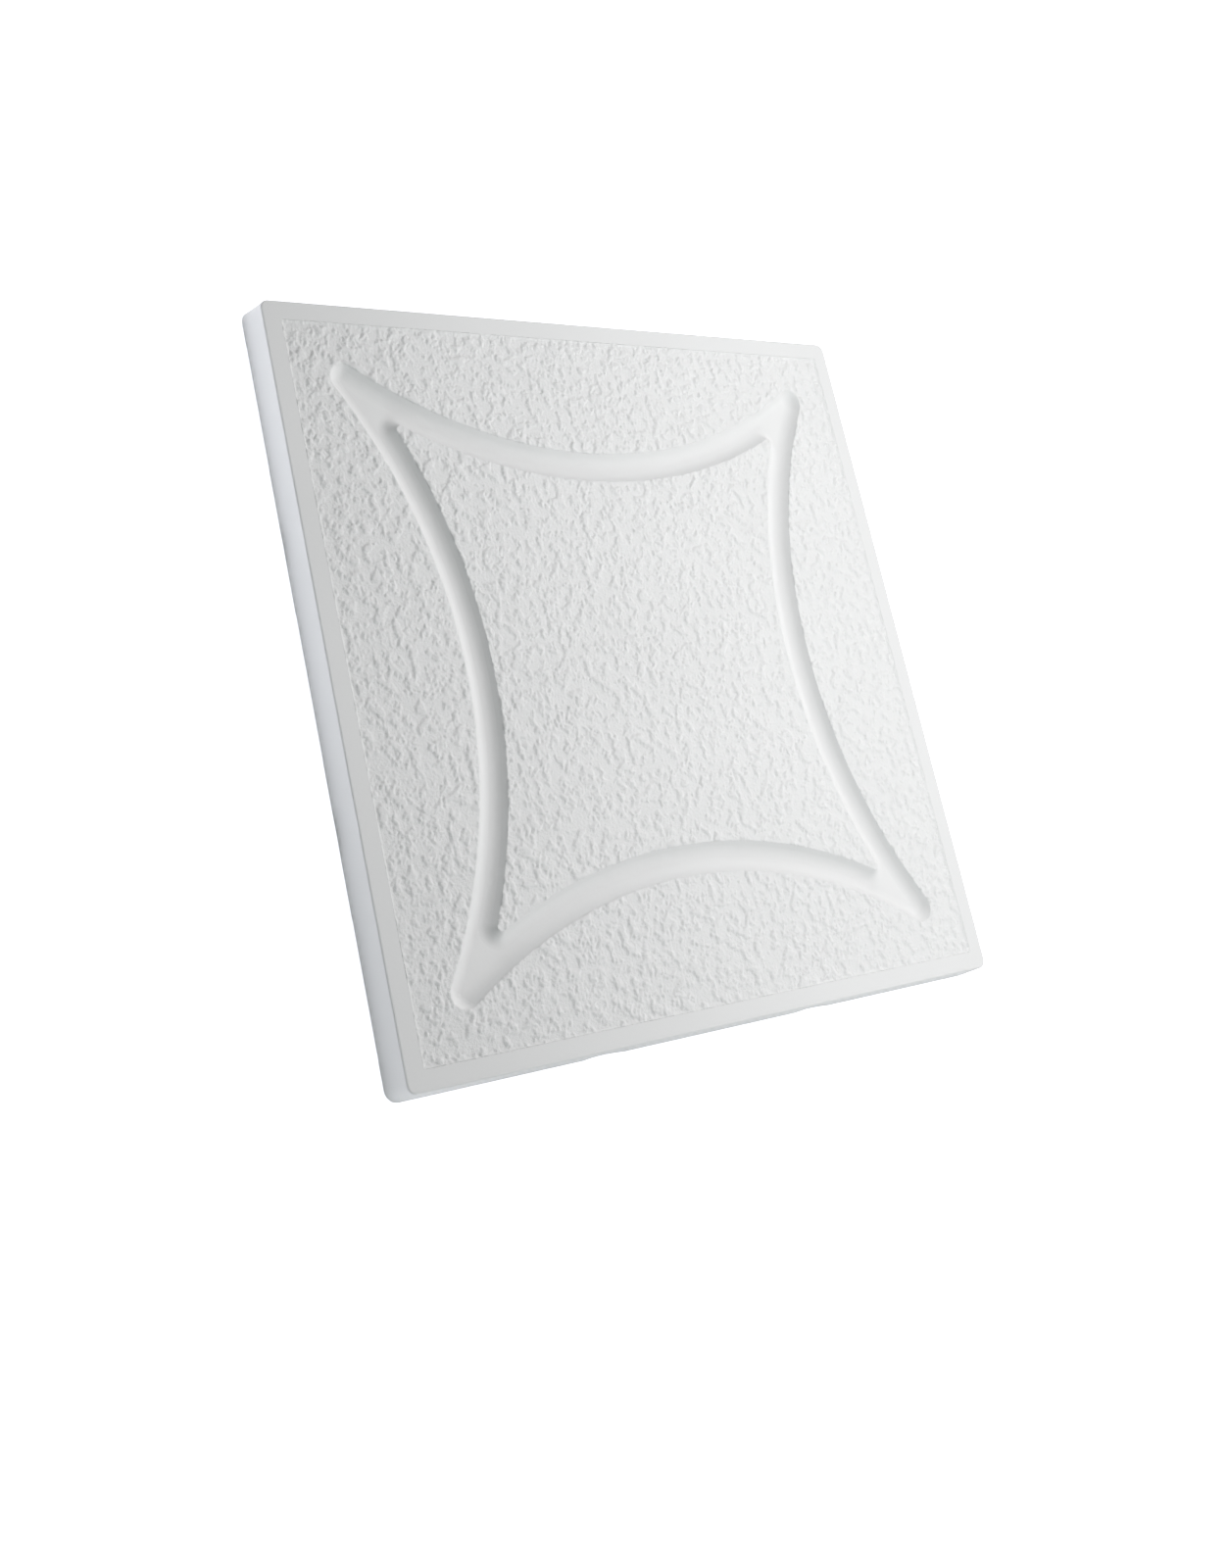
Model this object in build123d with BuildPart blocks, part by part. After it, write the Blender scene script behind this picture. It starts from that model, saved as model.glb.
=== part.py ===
"""A square ceiling tile with a star-shaped groove in its face, cast in one piece.

Lengths are in millimetres. The tile lies flat with its back on z = 0 and its
face up, centred on the Z axis, with its sides along X and Y.
"""
import os
from math import atan, cos, degrees, radians, sqrt

from build123d import *

# Overall size, for a 600 mm ceiling grid. The sides lean in towards the face, so
# the rounding of the back edge takes 0.5 mm off the back's side and leaves 595.
back_side = 595.5
face_side = 590.0
thickness = 30.0
corner_radius = 10.0
face_round = 1.5
back_round = 3.0

# Face: a smooth rim around a slightly lower field.
rim_width = 15.0
field_drop = 1.4
field_corner = 2.0

# Star groove. Its middle line is four arcs, which come nearest to the tile's
# centre at the middle of each side and meet in corners at (tip, tip).
waist = 165.5
tip = 234.0
groove_width = 24.0
groove_floor = 10.5
groove_depth = 7.0
groove_round = 12.0
island_round = 4.0

# Back: a frame and two ribs each way, standing on the panel behind the face.
panel = 13.0
frame_width = 25.0
rib_width = 22.0
rib_offset = 111.0
pocket_draft = 10.0
pocket_corner = 8.0
pocket_round = 3.0

# Gaps in the frame's back edge leave pads at the corners and where the ribs end.
gap_height = 2.5
gap_ramp = 7.0
middle_gap = 108.0
end_gap = 97.0
end_gap_offset = 218.5

# Shallow scallops down the sides, deepest at the back edge.
scallop_width = 38.0
scallop_depth = 1.0
scallop_height = 26.0
scallop_offset = 108.0

lean = (back_side - face_side) / 2 / thickness
field_level = thickness - field_drop


def around(points):
    """Repeat a side's points around the four sides of the tile."""
    return [[tuple(Vector(x, y).rotate(Axis.Z, 90 * k))[:2] for x, y in points] for k in range(4)]


# The groove's cutter widens from its floor up to the width at the field. The floor's
# edges are rounded so far that the rounds nearly meet, which makes the section a cove.
half_width = groove_floor / 2
run = (groove_width - groove_floor) / 2
flare = degrees(atan(run / groove_depth))
centre = (2 * tip**2 - waist**2) / (2 * (tip - waist))
radius = centre - waist
outer, inner = radius - half_width, radius + half_width
join = (centre - outer * (centre - tip) / radius, outer * tip / radius)
point = tip + half_width * cos(radians(45))
corner = (centre - sqrt(2 * inner**2 - centre**2)) / 2

with BuildPart() as groove:
    with BuildSketch(Plane.XY.offset(field_level - groove_depth)):
        with BuildLine():
            for low, middle, high, apex, across in around(
                [(join[0], -join[1]), (centre - outer, 0), join, (point, point), join[::-1]]
            ):
                ThreePointArc(low, middle, high)
                ThreePointArc(high, apex, across)
        make_face()
        with BuildSketch(mode=Mode.SUBTRACT) as island:
            with BuildLine():
                for low, middle, high in around([(corner, -corner), (centre - inner, 0), (corner, corner)]):
                    ThreePointArc(low, middle, high)
            make_face()
            fillet(island.vertices(), island_round + run)
    extrude(amount=groove_depth + 1, taper=-flare)
    fillet(groove.faces().sort_by(Axis.Z)[0].edges(), groove_round)


def gap(length):
    """The shape of one gap, which crosses the frame along X."""
    with BuildPart() as shape:
        with BuildSketch(Plane.YZ):
            Trapezoid(length + 2 * gap_ramp, gap_height, degrees(atan(gap_height / gap_ramp)),
                      align=(Align.CENTER, Align.MIN))
        extrude(amount=frame_width + 1, both=True)
    return shape.part


wide_gap, narrow_gap = gap(middle_gap), gap(end_gap)

# A scallop is cut by a wide cylinder that leans more than the side does.
scallop_radius = (scallop_width**2 / 4 + scallop_depth**2) / (2 * scallop_depth)
scallop_lean = lean - scallop_depth / scallop_height

with BuildPart() as scallop:
    with Locations((back_side / 2 - scallop_depth + scallop_radius, 0, 0)):
        Cylinder(scallop_radius, 4 * thickness, rotation=(0, -degrees(atan(scallop_lean)), 0))

with BuildPart() as tile:
    # Body
    with BuildSketch():
        RectangleRounded(back_side, back_side, corner_radius)
    extrude(amount=thickness, taper=degrees(atan(lean)))
    fillet(tile.faces().sort_by(Axis.Z)[-1].edges(), face_round)
    fillet(tile.faces().sort_by(Axis.Z)[0].edges(), back_round)

    # Face
    with BuildSketch(Plane.XY.offset(thickness)):
        RectangleRounded(face_side - 2 * rim_width, face_side - 2 * rim_width, field_corner)
    extrude(amount=-field_drop, mode=Mode.SUBTRACT)
    add(groove.part, mode=Mode.SUBTRACT)

    # Back pockets
    depth = thickness - panel
    near, far = rib_offset + rib_width / 2, back_side / 2 - frame_width
    spans = [(-far, -near), (rib_width - near, near - rib_width), (near, far)]
    with BuildPart(mode=Mode.SUBTRACT) as pockets:
        with BuildSketch():
            for x0, x1 in spans:
                for y0, y1 in spans:
                    with Locations(((x0 + x1) / 2, (y0 + y1) / 2)):
                        RectangleRounded(x1 - x0, y1 - y0, pocket_corner)
        extrude(amount=depth, taper=pocket_draft)
        fillet(pockets.faces().group_by(Axis.Z)[-1].edges(), pocket_round)

    # Side details
    with PolarLocations(back_side / 2, 4):
        add(wide_gap, mode=Mode.SUBTRACT)
    for side in (-1, 1):
        for turn in range(4):
            with Locations(Location((0, 0, 0), (0, 0, 90 * turn))):
                with Locations((back_side / 2, side * end_gap_offset, 0)):
                    add(narrow_gap, mode=Mode.SUBTRACT)
                with Locations((0, side * scallop_offset, 0)):
                    add(scallop.part, mode=Mode.SUBTRACT)

tile.part.label = "tile"
os.makedirs("parts", exist_ok=True)
export_step(tile.part, "parts/tile.step")

box = tile.part.bounding_box()
print("size", [round(v, 2) for v in box.size], "lowest", round(box.min.Z, 3))
print("volume", round(tile.part.volume / 1000, 1), "cm3, valid", tile.part.is_valid)
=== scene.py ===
# %% [markdown]
# # A stippled ceiling tile with a star groove
# The real object is a square of cast gypsum plaster, 595 mm across, made to drop into a
# 600 mm ceiling grid. Its rim is smooth, its field is stippled, and a smooth groove draws a
# four-pointed star in the field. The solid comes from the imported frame, already at its real
# size. This notebook adds the camera, the plaster's finish, the stipple and the light.

# %% Load the frame
import math

import bmesh
import bpy
from mathutils import Matrix, Vector, noise


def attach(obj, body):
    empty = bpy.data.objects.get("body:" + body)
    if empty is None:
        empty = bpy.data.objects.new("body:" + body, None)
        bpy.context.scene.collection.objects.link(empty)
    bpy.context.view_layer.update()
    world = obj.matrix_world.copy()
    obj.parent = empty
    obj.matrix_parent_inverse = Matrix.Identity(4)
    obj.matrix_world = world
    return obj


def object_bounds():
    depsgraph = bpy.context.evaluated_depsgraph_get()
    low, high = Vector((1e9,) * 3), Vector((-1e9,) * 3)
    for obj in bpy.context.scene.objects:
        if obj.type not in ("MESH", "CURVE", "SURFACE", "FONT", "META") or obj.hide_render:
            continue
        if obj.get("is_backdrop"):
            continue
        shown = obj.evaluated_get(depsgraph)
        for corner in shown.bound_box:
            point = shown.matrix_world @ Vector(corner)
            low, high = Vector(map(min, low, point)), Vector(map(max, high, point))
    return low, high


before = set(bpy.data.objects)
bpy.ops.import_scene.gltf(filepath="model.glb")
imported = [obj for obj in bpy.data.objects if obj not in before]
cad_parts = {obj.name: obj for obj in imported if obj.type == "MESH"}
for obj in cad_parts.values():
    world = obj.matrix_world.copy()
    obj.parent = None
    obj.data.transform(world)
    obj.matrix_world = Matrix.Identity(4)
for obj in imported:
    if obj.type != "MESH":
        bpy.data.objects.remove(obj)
cad_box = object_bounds()
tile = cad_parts["tile"]
scene = bpy.context.scene
MM = 0.001
TOP = cad_box[1].z
HALF_SIDE = cad_box[1].x
print("CAD box in mm:", [round(v / MM, 1) for corner in cad_box for v in corner])

# %% [markdown]
# ## The camera
# The photograph looks at the face from its left and from a little below its middle. The
# tile lies flat here, so the same view is a camera above the floor, rolled so that one side
# of the tile runs up the picture. Its axes are written as rows, which is easier to check
# than Euler angles: right, down and forward in the picture. A camera's own Y points up and
# its own Z points backward, so two of the rows change sign. The picture is a crop from a
# wider one, so the lens axis meets it above the middle, and a small shift puts that right.

# %% Camera
right = Vector((0.7829, -0.2158, 0.5836))
down = Vector((-0.0223, -0.9470, -0.3203))
forward = Vector((0.6218, 0.2378, -0.7462))
eye = Vector((-0.96154, -0.29925, 1.12767 + TOP))

camera = bpy.data.objects.new("camera", bpy.data.cameras.new("camera"))
scene.collection.objects.link(camera)
turned = Matrix((right, -down, -forward)).transposed().to_4x4()
camera.matrix_world = Matrix.Translation(eye) @ turned
camera.data.sensor_width = 36
camera.data.lens = 42.87
camera.data.shift_y = -0.125
scene.camera = camera
print("camera is", round((eye - Vector((0, 0, TOP))).length, 2), "m from the face")

# %% [markdown]
# ## The floor
# The photograph has an even white ground and soft light from the right. A white sheet beside
# a white thing lights it from below as well, so the floor here is a material that glows. It
# is far wider than the tile, and it is marked as stage, which isn't part of the object.

# %% Floor
FLOOR_REACH = 6

scene.view_settings.view_transform = "Standard"

floor_mesh = bmesh.new()
bmesh.ops.create_grid(floor_mesh, x_segments=1, y_segments=1, size=FLOOR_REACH)
floor = bpy.data.objects.new("floor", bpy.data.meshes.new("floor"))
floor_mesh.to_mesh(floor.data)
floor_mesh.free()
scene.collection.objects.link(floor)
floor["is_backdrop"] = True

pale = bpy.data.materials.new("pale floor")
pale.use_nodes = True
pale_shader = pale.node_tree.nodes["Principled BSDF"]
pale_shader.inputs["Base Color"].default_value = (0.88, 0.88, 0.88, 1)
pale_shader.inputs["Roughness"].default_value = 0.9
pale_shader.inputs["Emission Color"].default_value = (0.97, 0.985, 1.06, 1)
floor.data.materials.append(pale)
print("the floor is", 2 * FLOOR_REACH, "m wide")

# %% [markdown]
# The strength of the glow is worked out from a point's place on the floor. A ramp along Y
# makes it stronger to the back, a ramp along X makes it weaker to the right, and a ramp
# outwards from the tile's edge keeps it from shining in under the tile. Light Path tells a
# camera ray from light that reaches the tile: for the camera, the strength is never less
# than 1, which is plain white. Beyond the floor, the sky is white to the camera too, and
# gives no light.

# %% Glow
GLOW_REACH = 0.4
FRONT_GLOW, BACK_GLOW = 0.69, 1.4
RIGHT_SHARE = 0.45
APRON_START = HALF_SIDE + 1 * MM
APRON_END = HALF_SIDE + 17 * MM


def ramp(tree, source, low, high, start, end):
    """Runs smoothly from start to end while the source goes from low to high."""
    made = tree.nodes.new("ShaderNodeMapRange")
    made.interpolation_type = "SMOOTHSTEP"
    for name, value in (("From Min", low), ("From Max", high), ("To Min", start), ("To Max", end)):
        made.inputs[name].default_value = value
    tree.links.new(source, made.inputs["Value"])
    return made.outputs["Result"]


def arithmetic(tree, operation, *sources):
    """Joins the sources with a Math node."""
    made = tree.nodes.new("ShaderNodeMath")
    made.operation = operation
    for source, socket in zip(sources, made.inputs):
        tree.links.new(source, socket)
    return made.outputs[0]


pale_tree = pale.node_tree
floor_place = pale_tree.nodes.new("ShaderNodeTexCoord")
floor_axes = pale_tree.nodes.new("ShaderNodeSeparateXYZ")
pale_tree.links.new(floor_place.outputs["Object"], floor_axes.inputs[0])
x_place, y_place = floor_axes.outputs["X"], floor_axes.outputs["Y"]
across, along = (arithmetic(pale_tree, "ABSOLUTE", place) for place in (x_place, y_place))
outwards = arithmetic(pale_tree, "MAXIMUM", across, along)

backward = ramp(pale_tree, y_place, -GLOW_REACH, GLOW_REACH, FRONT_GLOW, BACK_GLOW)
leftward = ramp(pale_tree, x_place, -HALF_SIDE, -HALF_SIDE / 2, 1, RIGHT_SHARE)
apron = ramp(pale_tree, outwards, APRON_START, APRON_END, 0, 1)
full_glow = arithmetic(pale_tree, "MULTIPLY", backward, leftward)
lights_tile = arithmetic(pale_tree, "MULTIPLY", full_glow, apron)
seen = pale_tree.nodes.new("ShaderNodeLightPath").outputs["Is Camera Ray"]
glow = arithmetic(pale_tree, "MAXIMUM", lights_tile, seen)
pale_tree.links.new(glow, pale_shader.inputs["Emission Strength"])

sky = bpy.data.worlds.new("white sky")
sky.use_nodes = True
sky_light = sky.node_tree.nodes["Background"]
sky_light.inputs["Color"].default_value = (1, 1, 1, 1)
sky_seen = sky.node_tree.nodes.new("ShaderNodeLightPath").outputs["Is Camera Ray"]
sky.node_tree.links.new(sky_seen, sky_light.inputs["Strength"])
scene.world = sky
print("the floor glows fully from", round(APRON_END, 3), "m outwards")

# %% [markdown]
# ## The light
# The face gets darker to the left, and each lump is bright on its right and dark on its
# left, more so at the left of the tile. Lamps near the right side give both, because their
# light falls off across the face and comes in lower at the left. The groove shows how much
# light comes from elsewhere: its dark wall is never very dark. Four wide, far lights, one
# from each side, give that. The left and the front ones have a little less red, as the
# greys of the shaded slopes do.

# %% Lamps
LAMP_SIZE = 0.5
FAR_SPREAD = 30
WHITE, COOL = (1, 1, 1), (0.93, 1, 0.99)


def near_lamp(name, place, watts):
    """A square soft lamp that shines on the middle of the tile."""
    made = bpy.data.objects.new(name, bpy.data.lights.new(name, "AREA"))
    made.data.size = LAMP_SIZE
    made.data.energy = watts
    made.visible_camera = False
    made.location = place
    made.rotation_euler = Vector(place).to_track_quat("Z", "Y").to_euler()
    scene.collection.objects.link(made)
    print(name, "is", round(made.location.length, 2), "m away")


def far_light(name, turn, height, strength, colour):
    """A wide even light from far away, at a turn from +X and a height in degrees."""
    made = bpy.data.objects.new(name, bpy.data.lights.new(name, "SUN"))
    made.data.angle = math.radians(FAR_SPREAD)
    made.data.energy = strength
    made.data.color = colour
    turning = Matrix.Rotation(math.radians(turn), 3, "Z")
    lifting = Matrix.Rotation(-math.radians(height), 3, "Y")
    toward = Vector((1, 0, 0))
    toward.rotate(turning @ lifting)
    made.rotation_euler = toward.to_track_quat("Z", "Y").to_euler()
    scene.collection.objects.link(made)
    print(name, "comes from", [round(v, 2) for v in toward])


near_lamp("back lamp", (0.35, 0.4, 0.8), 4.3)
near_lamp("front lamp", (0.35, -0.4, 0.8), 3.75)
far_light("right light", 0, 34, 0.58, WHITE)
far_light("left light", 180, 20, 0.45, COOL)
far_light("back light", 90, 20, 0.53, WHITE)
far_light("front light", 270, 20, 0.63, COOL)

# %% [markdown]
# ## The plaster
# Cast gypsum is matt and almost white. Close up it has a fine grain of pores, and over the
# whole tile its tone drifts a little where it dried unevenly. Both finishes, the smooth one
# and the stippled one, need these, so they share one node group: it is made once and placed
# in each material with its own values. It reads Object coordinates, which stay with the
# tile. First come its inputs and outputs.

# %% Plaster group
group = bpy.data.node_groups.new("plaster grain", "ShaderNodeTree")
for way, name, kind in (
    ("INPUT", "Light", "NodeSocketColor"),
    ("INPUT", "Dark", "NodeSocketColor"),
    ("INPUT", "Grain Size", "NodeSocketFloat"),
    ("INPUT", "Grain Depth", "NodeSocketFloat"),
    ("OUTPUT", "Color", "NodeSocketColor"),
    ("OUTPUT", "Roughness", "NodeSocketFloat"),
    ("OUTPUT", "Height", "NodeSocketFloat"),
):
    group.interface.new_socket(name, in_out=way, socket_type=kind)


def node(tree, kind, place, **values):
    """Adds a node, and sets its inputs by name."""
    made = tree.nodes.new(kind)
    made.location = place
    for key, value in values.items():
        made.inputs[key.replace("_", " ")].default_value = value
    return made


inside = node(group, "NodeGroupInput", (-900, 0))
outside = node(group, "NodeGroupOutput", (600, 0))
coordinates = node(group, "ShaderNodeTexCoord", (-900, 300))
link = group.links.new
print(group.name, "has", len(group.interface.items_tree), "sockets")

# %% [markdown]
# The tone is a slow drift over the tile and a fine speckle, which together choose between
# the dark and the light colour. A Mix node keeps sockets for numbers and for colours under
# the same names, so they are picked by their place in its list.

# %% Tone
DRIFT_SCALE, SPECKLE_SCALE = 9, 700
SPECKLE_SHARE = 0.35
MIX_FACTOR, MIX_NUMBERS, MIX_COLOURS = 0, (2, 3), (6, 7)
NUMBER_RESULT, COLOUR_RESULT = 0, 2

drift = node(group, "ShaderNodeTexNoise", (-600, 300), Scale=DRIFT_SCALE, Detail=3, Roughness=0.5)
speckle = node(
    group, "ShaderNodeTexNoise", (-600, 100), Scale=SPECKLE_SCALE, Detail=2, Roughness=0.6
)
tone = node(group, "ShaderNodeMix", (-300, 250))
tone.inputs[MIX_FACTOR].default_value = SPECKLE_SHARE
colour = node(group, "ShaderNodeMix", (0, 200))
colour.data_type = "RGBA"
for texture, socket in zip((drift, speckle), MIX_NUMBERS):
    link(coordinates.outputs["Object"], texture.inputs["Vector"])
    link(texture.outputs["Fac"], tone.inputs[socket])
link(tone.outputs[NUMBER_RESULT], colour.inputs[MIX_FACTOR])
for name, socket in zip(("Dark", "Light"), MIX_COLOURS):
    link(inside.outputs[name], colour.inputs[socket])
link(colour.outputs[COLOUR_RESULT], outside.inputs["Color"])
print("drift and speckle in mm:", [round(1 / MM / v, 1) for v in (DRIFT_SCALE, SPECKLE_SCALE)])

# %% [markdown]
# The grain is a noise whose size is given in millimetres, while a Noise Texture counts in
# repeats per metre here, so a division turns one into the other. Its low places are pores,
# and these are a little rougher than the skin between them.

# %% Grain
PORE_ROUGHNESS, SKIN_ROUGHNESS = 0.92, 0.8

per_metre = node(group, "ShaderNodeMath", (-700, -200))
per_metre.operation = "DIVIDE"
per_metre.inputs[0].default_value = 1 / MM
grain = node(group, "ShaderNodeTexNoise", (-450, -200), Detail=4, Roughness=0.55)
depth = node(group, "ShaderNodeMath", (-150, -200))
depth.operation = "MULTIPLY"
rough = node(group, "ShaderNodeMapRange", (-150, -450), To_Min=PORE_ROUGHNESS, To_Max=SKIN_ROUGHNESS)
link(inside.outputs["Grain Size"], per_metre.inputs[1])
link(coordinates.outputs["Object"], grain.inputs["Vector"])
link(per_metre.outputs[0], grain.inputs["Scale"])
link(grain.outputs["Fac"], depth.inputs[0])
link(inside.outputs["Grain Depth"], depth.inputs[1])
link(depth.outputs[0], outside.inputs["Height"])
link(grain.outputs["Fac"], rough.inputs["Value"])
link(rough.outputs["Result"], outside.inputs["Roughness"])
print("roughness from", SKIN_ROUGHNESS, "on the skin to", PORE_ROUGHNESS, "in the pores")

# %% [markdown]
# Each material holds its own shader and Bump node, and the group once. The smooth plaster
# is as it left its mould, so its grain is wide and very shallow. The stippled plaster is a
# touch lighter, and its deeper, finer grain stands for the grit that is too small for the
# mesh.

# %% Materials
def plaster(name, light, dark, size, depth):
    """A plaster between two greys, whose grain has this size and depth in millimetres."""
    material = bpy.data.materials.new(name)
    material.use_nodes = True
    tree = material.node_tree
    shader = tree.nodes["Principled BSDF"]
    shader.inputs["Specular IOR Level"].default_value = 0.3
    finish = node(tree, "ShaderNodeGroup", (-600, 0))
    finish.node_tree = group
    finish.inputs["Light"].default_value = (light, light, light, 1)
    finish.inputs["Dark"].default_value = (dark, dark, dark, 1)
    finish.inputs["Grain Size"].default_value = size
    finish.inputs["Grain Depth"].default_value = depth
    bump = node(tree, "ShaderNodeBump", (-300, -200), Distance=MM)
    tree.links.new(finish.outputs["Color"], shader.inputs["Base Color"])
    tree.links.new(finish.outputs["Roughness"], shader.inputs["Roughness"])
    tree.links.new(finish.outputs["Height"], bump.inputs["Height"])
    tree.links.new(bump.outputs["Normal"], shader.inputs["Normal"])
    return material


smooth_plaster = plaster("smooth plaster", light=0.82, dark=0.76, size=3.0, depth=0.06)
rough_plaster = plaster("stippled plaster", light=0.833, dark=0.773, size=2.4, depth=0.75)
for slot in tile.material_slots:
    slot.material = smooth_plaster
print("materials:", smooth_plaster.name, "and", rough_plaster.name)

# %% [markdown]
# ## The outline of the stipple
# The stipple fills the field up to the rim, and stops at both edges of the groove. The
# groove follows four arcs that meet in points, as wide as the round tool that would draw
# it. So the distance of any point from its edges can be worked out from the arcs' centres,
# and one eighth of the tile is enough, because the other eighths mirror it. The lengths are
# the solid's own: half the field's side, how far the groove's middle line is from the
# tile's centre at its waist and along each axis at its tips, half the groove's width, and
# the rounding of the island's corners.

# %% Distances
FIELD = 280 * MM
WAIST, TIP = 165.5 * MM, 234 * MM
HALF_WIDTH = 12 * MM
CORNER_ROUND = 4 * MM

centre = (2 * TIP**2 - WAIST**2) / (2 * (TIP - WAIST))
outer_arc = centre - WAIST - HALF_WIDTH
inner_arc = centre - WAIST + HALF_WIDTH
island_corner = (centre - math.sqrt(2 * (inner_arc + CORNER_ROUND) ** 2 - centre**2)) / 2


def eighth(x, y):
    """Folds a point into the eighth of the tile that lies beside the +X axis."""
    x, y = abs(x), abs(y)
    return (x, y) if x >= y else (y, x)


def outside_star(x, y):
    """How far a point is outside the groove's outer edge."""
    x, y = eighth(x, y)
    if math.atan2(y, centre - x) <= math.atan2(TIP, centre - TIP):
        return outer_arc - math.hypot(centre - x, y)
    return math.hypot(x - TIP, y - TIP) - HALF_WIDTH


def inside_star(x, y):
    """How far a point is inside the groove's inner edge."""
    x, y = eighth(x, y)
    if math.atan2(y, centre - x) <= math.atan2(island_corner, centre - island_corner):
        return math.hypot(centre - x, y) - inner_arc
    return CORNER_ROUND - math.hypot(x - island_corner, y - island_corner)


waist_edges = [round((centre - arc) / MM, 1) for arc in (outer_arc, inner_arc)]
print("groove edges at the waist in mm:", *waist_edges)

# %% [markdown]
# ## The height of the stipple
# A stippled coat is flicked or dabbed on: crumbs 3 to 6 mm across that stand steeply on a
# flatter ground, close together in some places and sparse in others. Two sizes of gradient
# noise, a little warped, give the clumps, and two finer ones the grit on them. What lies
# under a threshold is cut off, which leaves flat ground, and a hyperbolic tangent makes
# each crumb rise steeply from its foot and then round off. A slower noise rolls the ground
# and spaces the clumps. The noises are turned, so that their lattices don't line up with
# the tile's sides, and each is shifted, so that no two are alike. A bump map alone would do
# for the shading, but the crumbs are a millimetre high, and only real ones show in the mesh.

# %% Height
TURN_COS, TURN_SIN = 0.8, 0.6
WARP, WARP_SIZE = 0.6, 2
THRESHOLD, STEEPNESS = 0.115, 3.7
GROUND, CRUMB, ROLL = 0.06, 0.9, 0.05

# Without a seed, noise_vector gives another warp in each run.
noise.seed_set(4)


def layer(spot, size, *shift):
    """A noise from about -1 to 1, with lumps of about this size in millimetres."""
    return noise.noise(spot / size + Vector(shift))


def stipple(x, y):
    """The height of the coat at a point, from 0 to about 1."""
    spot = Vector((TURN_COS * x - TURN_SIN * y, TURN_SIN * x + TURN_COS * y, 0)) / MM
    ground = layer(spot, 17, 5, 51, 9)
    spot += WARP * noise.noise_vector(spot / WARP_SIZE)
    clumps = layer(spot, 7.3, 0, 0, 0) + 0.5 * abs(layer(spot, 4, 31, 7, 3)) + 0.45 * ground
    grit = 0.48 * layer(spot, 2.7, 3, 90, 8) + 0.42 * layer(spot, 1.8, 12, 40, 6)
    rise = max(clumps + grit - THRESHOLD, 0)
    return GROUND + CRUMB * math.tanh(STEEPNESS * rise) + ROLL * ground


places = [MM * step for step in range(-200, 200, 7)]
heights = [stipple(x, y) for x in places for y in places]
print("stipple from", round(min(heights), 2), "to", round(max(heights), 2))

# %% [markdown]
# ## The stippled coat
# The coat covers the field outside the star and the island within it. Each is made as two
# halves, because a mesh fine enough for the crumbs has a quarter of a million squares. A
# half starts as a flat grid, loses the squares that lie beyond the groove's edge, and has
# its ragged border pulled onto the true line. The halves overlap by two squares.

# %% Flat halves
PITCH = 1.0 * MM
OVERLAP = 2 * PITCH
BORDER = 2 * PITCH


def onto_line(vert, distance):
    """Moves a point along the slope of a distance until the distance is nought."""
    step = 0.01 * MM
    for _ in range(3):
        x, y = vert.co.xy
        here = distance(x, y)
        slope = Vector((distance(x + step, y) - here, distance(x, y + step) - here, 0)) / step
        if slope.length:
            vert.co -= slope * here / slope.length_squared


def flat_half(reach, side, distance):
    """The half of a coat on one side of the X axis, flat and cut to its outline."""
    low = Vector((-reach, -OVERLAP if side > 0 else -reach))
    high = Vector((reach, reach if side > 0 else OVERLAP))
    size = high - low
    middle = Matrix.Translation(((low + high) / 2).to_3d())
    spread = middle @ Matrix.Diagonal((size.x, size.y, 1, 1))
    columns, rows = (round(length / PITCH) for length in size)
    mesh = bmesh.new()
    bmesh.ops.create_grid(mesh, x_segments=columns, y_segments=rows, size=0.5, matrix=spread)
    beyond = [f for f in mesh.faces if distance(*f.calc_center_median().xy) < 0]
    bmesh.ops.delete(mesh, geom=beyond, context="FACES")
    for vert in {v for e in mesh.edges if e.is_boundary for v in e.verts}:
        x, y = vert.co.xy
        to_side = min(abs(x - low.x), abs(x - high.x), abs(y - low.y), abs(y - high.y))
        straight = to_side < PITCH / 9 and len(vert.link_faces) == 2
        if abs(distance(x, y)) < BORDER and not straight:
            onto_line(vert, distance)
    return mesh


print("squares of", PITCH / MM, "mm, and an overlap of", OVERLAP / MM, "mm")

# %% [markdown]
# Then the grid is lifted to the height of the stipple. The coat thins out at the groove's
# edges, and comes up almost level with the smooth rim. Where the halves overlap, each one
# sinks a little under the other, and so no seam shows between them.

# %% Relief
FIELD_LEVEL = TOP - 1.4 * MM
COAT = 1.46 * MM
RIM_HEIGHT, RIM_FADE = 1.3 * MM, 2 * MM
GROOVE_SHARE, GROOVE_FADE = 0.3, 1.5 * MM
SINK = 0.02


def fade(distance, reach):
    """Rises smoothly from 0 at an edge to 1 at this distance from it."""
    t = min(max(distance / reach, 0), 1)
    return t * t * (3 - 2 * t)


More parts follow.
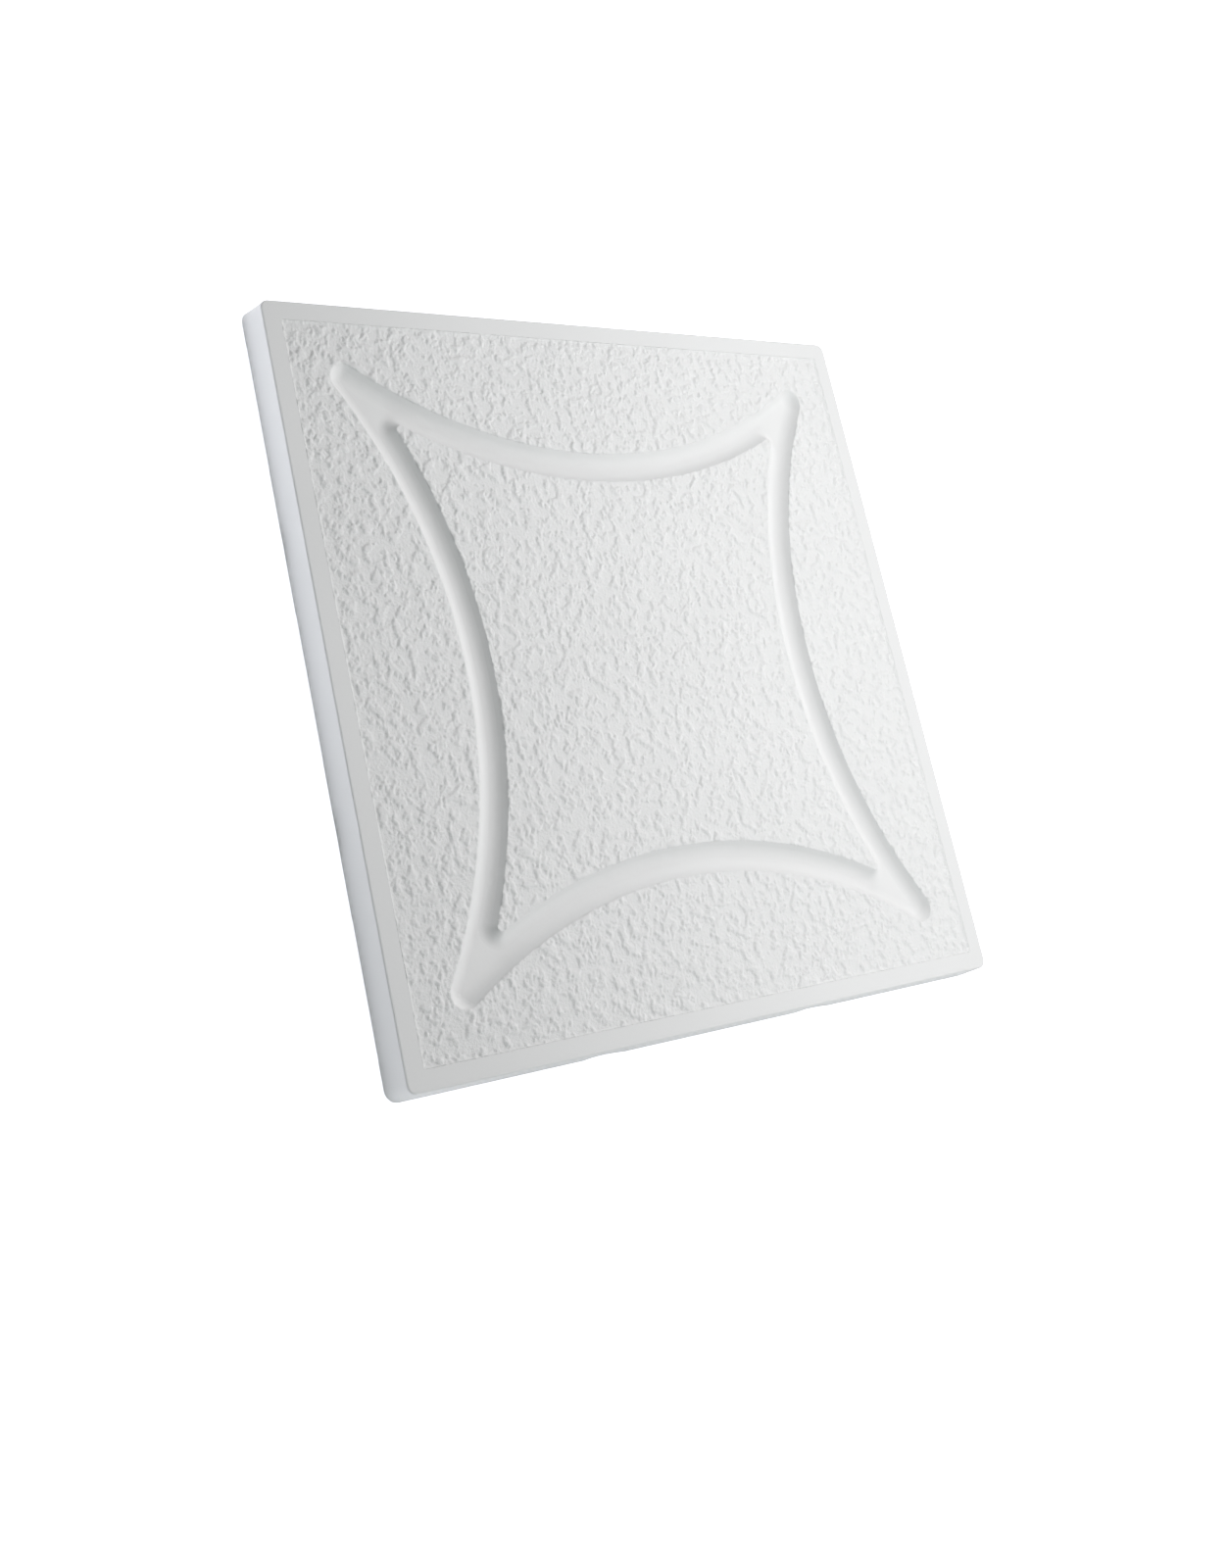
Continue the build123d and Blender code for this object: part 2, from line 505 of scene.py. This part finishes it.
def lift(mesh, side, distance):
    """Lifts a flat half to the height of the coat, and makes it look smooth."""
    for vert in mesh.verts:
        x, y = vert.co.xy
        near = GROOVE_SHARE + (1 - GROOVE_SHARE) * fade(distance(x, y), GROOVE_FADE)
        height = COAT * near * stipple(x, y)
        away = fade(FIELD - max(abs(x), abs(y)), RIM_FADE)
        height = away * height + (1 - away) * RIM_HEIGHT
        vert.co.z = FIELD_LEVEL + height - SINK * max(-side * y, 0)
    for face in mesh.faces:
        face.smooth = True


print("the coat ends", round((TOP - FIELD_LEVEL - RIM_HEIGHT) / MM, 2), "mm below the rim")

# %% [markdown]
# Last, the border is extruded down into the plaster and filled, so that each piece is a
# closed solid that sits in the field, with its faces turned outwards.

# %% Coat
HEM = 0.3 * MM


def close(mesh):
    """Gives a lifted half walls and an underside."""
    edge = [e for e in mesh.edges if e.is_boundary]
    walls = bmesh.ops.extrude_edge_only(mesh, edges=edge)["geom"]
    for vert in walls:
        if isinstance(vert, bmesh.types.BMVert):
            vert.co.z = FIELD_LEVEL - HEM
    hem = [e for e in walls if isinstance(e, bmesh.types.BMEdge) and e.is_boundary]
    bmesh.ops.triangle_fill(mesh, edges=hem, use_beauty=False, use_dissolve=False)
    bmesh.ops.recalc_face_normals(mesh, faces=mesh.faces)


def coat(name, reach, side, distance):
    """The half of a coat on one side of the X axis, as a piece on the tile."""
    mesh = flat_half(reach, side, distance)
    lift(mesh, side, distance)
    close(mesh)
    open_edges = sum(not e.is_manifold for e in mesh.edges)
    piece = bpy.data.objects.new(name, bpy.data.meshes.new(name))
    mesh.to_mesh(piece.data)
    mesh.free()
    scene.collection.objects.link(piece)
    piece.data.materials.append(rough_plaster)
    piece.data.calc_loop_triangles()
    print(name, "has", len(piece.data.loop_triangles), "triangles and", open_edges, "open edges")
    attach(piece, "root")


ISLAND = math.ceil(island_corner / MM + 5) * MM
coat("field_back", FIELD, 1, outside_star)
coat("field_front", FIELD, -1, outside_star)
coat("star_back", ISLAND, 1, inside_star)
coat("star_front", ISLAND, -1, inside_star)

# %% [markdown]
# ## Finish
# The box of the finished object is printed beside the box of the solid, to see that the
# coat doesn't change the tile's size.

# %% Sizes
boxes = {"cad": [list(corner) for corner in cad_box], "visual": [list(corner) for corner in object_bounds()]}
for name, box in boxes.items():
    print(name, "box in mm:", [[round(v / MM, 2) for v in corner] for corner in box])
